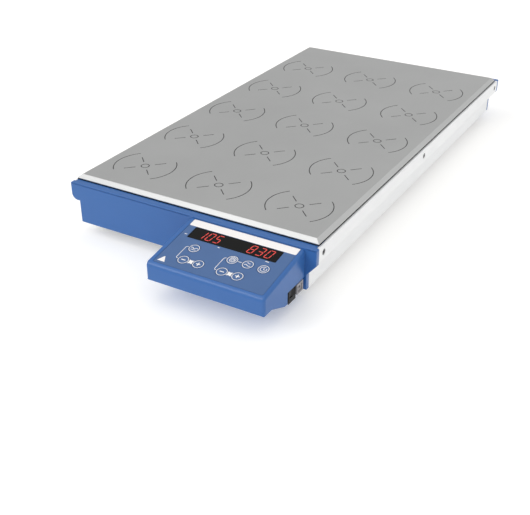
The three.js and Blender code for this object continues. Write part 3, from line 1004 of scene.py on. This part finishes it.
def head_hollow():
    """The room inside the shell, open below."""
    low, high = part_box("head_upper_shell")
    wall, deck = HEAD["wall"], HEAD["deck"]
    front, back = low.y + wall, high.y - wall
    outline = [
        (back, slope_height(back) - deck),
        (front, slope_height(front) - deck),
        (front, 0),
        (back, 0),
    ]
    bm = bmesh.new()
    slab(bm, outline, low.x + wall, high.x - wall, ALONG_X)
    return bm


def foil_pocket():
    """The shallow pocket in the face that the keypad foil lies in."""
    play = 0.3 * MM
    grow = Vector((play, play))
    low, high = face_box("keypad_membrane")
    bm = bmesh.new()
    slab(bm, rounded_box(low.xy - grow, high.xy + grow, 2 * MM), low.z - play, MM)
    return to_face(bm)


def face_openings():
    """The window's opening, with a rim for it to rest on, and a stepped hole for each key."""
    depth, seat_depth = 12 * MM, 1.9 * MM
    seat, stem = HEAD["key_seat"], HEAD["key_stem"]
    low, high = face_box("display_window")
    rest = Vector((2 * MM, 1.4 * MM))
    bm = bmesh.new()
    slab(bm, rounded_box(low.xy + rest, high.xy - rest, MM), -depth, 0)
    profile = [
        (0, -depth),
        (stem, -depth),
        (stem, -seat_depth),
        (seat, -seat_depth),
        (seat, 0),
        (0, 0),
    ]
    for key in KEYS:
        centre = key_centre(key)
        lathe(bm, profile, 40, Matrix.Translation((centre.x, centre.y, 0)))
    return to_face(bm)


def cut_bay(shell):
    """The recess in the head's right side, and the holes for the switch and the socket."""
    low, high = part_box("head_upper_shell")
    lining = BAY["lining"]
    face = high.x - BAY["depth"]
    inside = face - BAY["back_wall"]
    front = high.y - BAY["length"]
    top = low.z + BAY["height"]
    walls = bmesh.new()
    block(walls, (inside, front - lining, low.z), (high.x - MM, high.y, top + lining))
    join(shell, walls)
    recess = bmesh.new()
    block(recess, (face, front, 0), (high.x + MM, high.y + MM, top))
    cut(shell, recess)
    for node, (side, below, above) in FRAME_RIMS.items():
        piece_low, piece_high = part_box(node)
        hole = bmesh.new()
        block(
            hole,
            (inside - MM, piece_low.y + side, piece_low.z + below),
            (high.x + MM, piece_high.y - side, piece_high.z - above),
        )
        cut(shell, hole)


def add_head_shell():
    """The blue upper shell of the control head."""
    shell = head_outer()
    cut(shell, head_hollow())
    cut_bay(shell)
    cut(shell, foil_pocket())
    cut(shell, face_openings())
    round_edges(shell, 0.25 * MM, angle=50)
    finish_piece(shell, ["head_upper_shell"])


def add_membrane():
    """The keypad foil, with openings for the window and the keys."""
    play = 0.3 * MM
    grow = Vector((play, play))
    low, high = face_box("keypad_membrane")
    bottom, top = low.z - MM, high.z + MM
    bm = bmesh.new()
    slab(bm, rounded_box(low.xy, high.xy, 1.8 * MM), low.z, high.z)
    foil = to_object("keypad", to_face(bm), ["keypad_foil"])
    window_low, window_high = face_box("display_window")
    holes = bmesh.new()
    slab(holes, rounded_box(window_low.xy - grow, window_high.xy + grow, MM), bottom, top)
    for key in KEYS:
        key_low, key_high = face_box(key)
        radius = (key_high.x - key_low.x) / 2 + play
        slab(holes, circle(key_centre(key), radius), bottom, top)
    cut(foil, to_face(holes))
    round_edges(foil, 0.12 * MM, angle=50)
    finish_piece(foil, ["keypad_membrane"])


INK = {
    "lift": 0.01 * MM,
    "top": 0.05 * MM,
    "line": 0.52 * MM,
    "link_reach": 5.95 * MM,
    "ring": 4.85 * MM,
}


def ink_levels():
    """The bottom and the top of the printing on the foil."""
    surface = face_box("keypad_membrane")[1].z
    return surface + INK["lift"], surface + INK["top"]


def print_strip(bm):
    """The blank white strip above the window."""
    bottom, top = ink_levels()
    low, high = face_box("keypad_membrane")
    window_high = face_box("display_window")[1]
    margin = 0.2 * MM
    strip_low = Vector((low.x + margin, window_high.y + 0.45 * MM))
    strip_high = Vector((high.x - margin, high.y - margin))
    slab(bm, rounded_box(strip_low, strip_high, 1.2 * MM), bottom, top)


def print_waist(bm, minus, plus):
    """The white shape between a minus key and its plus key, narrower at its middle."""
    bottom, top = ink_levels()
    a, b = key_centre(minus), key_centre(plus)
    left = arc(a, INK["link_reach"], -26, 26, 8)
    right = arc(b, INK["link_reach"], 154, 206, 8)
    middle_x, waist = (a.x + b.x) / 2, 1.9 * MM
    outline = [*left, (middle_x, a.y + waist), *right, (middle_x, a.y - waist)]
    slab(bm, outline, bottom, top)


def print_bracket(bm, upper, lower):
    """The line down the left side, from an upper key to the minus key under it."""
    bottom, top = ink_levels()
    a, b = key_centre(upper), key_centre(lower)
    x, bend = a.x - 8.1 * MM, 1.6 * MM
    path = [
        (a.x - INK["link_reach"], a.y),
        *arc((x + bend, a.y - bend), bend, 90, 180, 4),
        *arc((x + bend, b.y + bend), bend, 180, 270, 4),
        (b.x - INK["link_reach"], b.y),
    ]
    ribbon(bm, path, INK["line"], bottom, top)


def print_triangle(bm):
    """The plain white triangle in the foil's lower left corner, its tip slightly blunt."""
    bottom, top = ink_levels()
    corner = face_box("keypad_membrane")[0].xy + Vector((2.5 * MM, 2.8 * MM))
    side, height, tip = 7.8 * MM, 6.9 * MM, 0.4 * MM
    triangle = [
        corner,
        corner + Vector((side, 0)),
        corner + Vector((side / 2 + tip, height)),
        corner + Vector((side / 2 - tip, height)),
    ]
    slab(bm, triangle, bottom, top)


def print_unit_bars(bm):
    """Three small bars where the units of the displays are marked."""
    bottom, top = ink_levels()
    low, high = face_box("display_window")
    for x, y, width in (
        (low.x - 3.4 * MM, low.y + 3.2 * MM, 2.6 * MM),
        (low.x + 35.5 * MM, low.y - 2.2 * MM, 2.0 * MM),
        (high.x - 7.0 * MM, low.y - 2.0 * MM, 3.6 * MM),
    ):
        ribbon(bm, [(x - width / 2, y), (x + width / 2, y)], 0.8 * MM, bottom, top)


def add_foil_print():
    """All the printing that stays still when a key is pressed."""
    bottom, top = ink_levels()
    bm = bmesh.new()
    print_strip(bm)
    print_waist(bm, "heat_minus_key", "heat_plus_key")
    print_waist(bm, "stir_minus_key", "stir_plus_key")
    print_bracket(bm, "heat_key", "heat_minus_key")
    print_bracket(bm, "stir_key", "stir_minus_key")
    a, b = key_centre("stir_key"), key_centre("mode_key")
    reach = INK["link_reach"]
    ribbon(bm, [(a.x + reach, a.y), (b.x - reach, b.y)], INK["line"], bottom, top)
    print_triangle(bm)
    print_unit_bars(bm)
    prints = to_object("foil_print", to_face(bm), ["white_ink"])
    finish_piece(prints, [])


def wave(y, half_width, height, turns=1.0):
    """A wavy line across, at a height y."""
    steps = 16
    points = []
    for i in range(steps + 1):
        t = i / steps
        points.append((half_width * (2 * t - 1), y + height * math.sin(2 * math.pi * turns * t)))
    return points


def spiral(inner, outer, turns):
    """A line that winds outwards about the middle."""
    steps = 40
    points = []
    for i in range(steps + 1):
        t = i / steps
        angle = 2 * math.pi * turns * t
        radius = inner + (outer - inner) * t
        points.append((radius * math.cos(angle), radius * math.sin(angle)))
    return points


DASH = [(-2.2, 0), (2.2, 0)]
UPRIGHT = [(0, -2.2), (0, 2.2)]
# What is printed inside each key's ring: lines of points about its middle, in millimetres.
SYMBOLS = {
    "heat_key": [wave(0.2, 3.6, 0.7, 1.5), [(-2.6, -2.0), (2.6, -2.0)]],
    "stir_key": [spiral(0.6, 3.7, 2.4)],
    "mode_key": [wave(1.8, 1.8, 0.5), wave(-1.2, 3.2, 0.6)],
    "timer_key": [arc((0, 0), 2.9, 60, 390, 24), [(0, 1.8), (0, 0), (1.3, -0.8)]],
    "heat_minus_key": [DASH],
    "heat_plus_key": [DASH, UPRIGHT],
    "stir_minus_key": [DASH],
    "stir_plus_key": [DASH, UPRIGHT],
}
# How thick those lines are: the plus and minus signs are bolder than the finer symbols.
BOLD_LINE = 0.95 * MM
FINE_LINES = {
    "stir_key": 0.55 * MM,
    "timer_key": 0.55 * MM,
    "mode_key": 0.6 * MM,
    "heat_key": 0.6 * MM,
}


def add_key_cap(key, body):
    """A round, slightly crowned cap on a stem."""
    low, high = face_box(key)
    centre = key_centre(key)
    radius = (high.x - low.x) / 2
    stem, chamfer, thickness = 3.2 * MM, 0.2 * MM, 1.0 * MM
    crown, rim = 0.02 * MM, 0.15 * MM
    profile = [
        (0, low.z),
        (stem - chamfer, low.z),
        (stem, low.z + chamfer),
        (stem, high.z - thickness),
        (radius, high.z - thickness),
        (radius, high.z - rim),
        (radius - rim * 0.3, high.z - rim * 0.3),
        (radius - rim, high.z - crown),
        (radius * 0.5, high.z),
        (0, high.z),
    ]
    bm = bmesh.new()
    lathe(bm, profile, 48, Matrix.Translation((centre.x, centre.y, 0)))
    cap = to_object(f"{key}_cap", to_face(bm), ["keypad_foil"])
    finish_piece(cap, [key], body)


def add_key_print(key, body):
    """A key's ring and symbol, which move with it. Lines that cross differ a hair in height."""
    centre = key_centre(key)
    bottom, top = ink_levels()
    line = FINE_LINES.get(key, BOLD_LINE)
    bm = bmesh.new()
    ribbon(bm, circle(centre, INK["ring"]), INK["line"], bottom, top, closed=True)
    for number, path in enumerate(SYMBOLS[key]):
        points = [(centre.x + x * MM, centre.y + y * MM) for x, y in path]
        raised = number * 0.003 * MM
        ribbon(bm, points, line, bottom, top + raised)
    printed = to_object(f"{key}_print", to_face(bm), ["white_ink"])
    finish_piece(printed, [], body)


def add_key(key):
    body = f"{key}_button"
    add_key_cap(key, body)
    add_key_print(key, body)


# ---- Display ----

SEGMENTS = {"0": "abcdef", "1": "bc", "3": "abcdg", "5": "acdfg", "8": "abcdefg"}
DIGIT = {
    "width": 5.0 * MM,
    "height": 10.6 * MM,
    "line": 0.85 * MM,
    "gap": 0.45 * MM,
    "lean": math.tan(math.radians(11)),
}


def digit_segments(character):
    """The lit segments of a digit as pairs of ends, about its middle."""
    x, y, gap = DIGIT["width"] / 2, DIGIT["height"] / 2, DIGIT["gap"]
    ends = {
        "a": ((-x + gap, y), (x - gap, y)),
        "b": ((x, y - gap), (x, gap)),
        "c": ((x, -gap), (x, -y + gap)),
        "d": ((-x + gap, -y), (x - gap, -y)),
        "e": ((-x, -gap), (-x, -y + gap)),
        "f": ((-x, y - gap), (-x, gap)),
        "g": ((-x + gap, 0), (x - gap, 0)),
    }
    return [ends[name] for name in SEGMENTS[character]]


def add_digits(name, node, text, first, pitch):
    """Lit digits on the window over a display module.

    first is the x of the first digit's middle from the module's left end.
    """
    low, high = face_box(node)
    surface = face_box("display_window")[1].z
    middle_y = (low.y + high.y) / 2 - 0.1 * MM
    bottom, top = surface + INK["lift"], surface + INK["top"]
    bm = bmesh.new()
    for place, character in enumerate(text):
        middle_x = low.x + first + place * pitch
        for ends in digit_segments(character):
            points = [(middle_x + u + v * DIGIT["lean"], middle_y + v) for u, v in ends]
            ribbon(bm, points, DIGIT["line"], bottom, top)
    digits = to_object(name, to_face(bm), ["display_light"])
    finish_piece(digits, [])


def add_display():
    """The smoked window and the digits that show through it."""
    low, high = face_box("display_window")
    bm = bmesh.new()
    slab(bm, rounded_box(low.xy, high.xy, 0.8 * MM), low.z, high.z)
    window = to_object("window", to_face(bm), ["display_window"])
    round_edges(window, 0.15 * MM)
    finish_piece(window, ["display_window"])
    add_digits("temperature_digits", "temperature_display", "105", 4.5 * MM, 8.5 * MM)
    add_digits("speed_digits", "speed_display", "830", 4.5 * MM, 8.8 * MM)


# ---- CAD nodes that keep their shape ----

def dress_cad_nodes():
    """Gives every CAD node its material, and rounds the edges of those that show."""
    slots = {part["node"]: part["material_slot"] for part in frame["record"]["subparts"]}
    for name, node in NODES.items():
        node.data.materials.clear()
        node.data.materials.append(MATERIALS[slots[name]])
        if node.hide_render:
            continue
        round_edges(node, 0.25 * MM, angle=40)
        settle_normals(node)


add_camera()
add_world()
add_floor()
bpy.context.scene.view_settings.view_transform = "Standard"

add_plate()
add_gasket_and_gap_shade()
for side_name, side in (("left", -1), ("right", 1)):
    add_rail(side_name, side)
    for number in SCREW_NUMBERS:
        add_side_screw(side_name, side, number)
add_front_cap()
add_rear_cap()
add_head_shell()
add_membrane()
add_foil_print()
for key in KEYS:
    add_key(key)
add_display()
dress_cad_nodes()
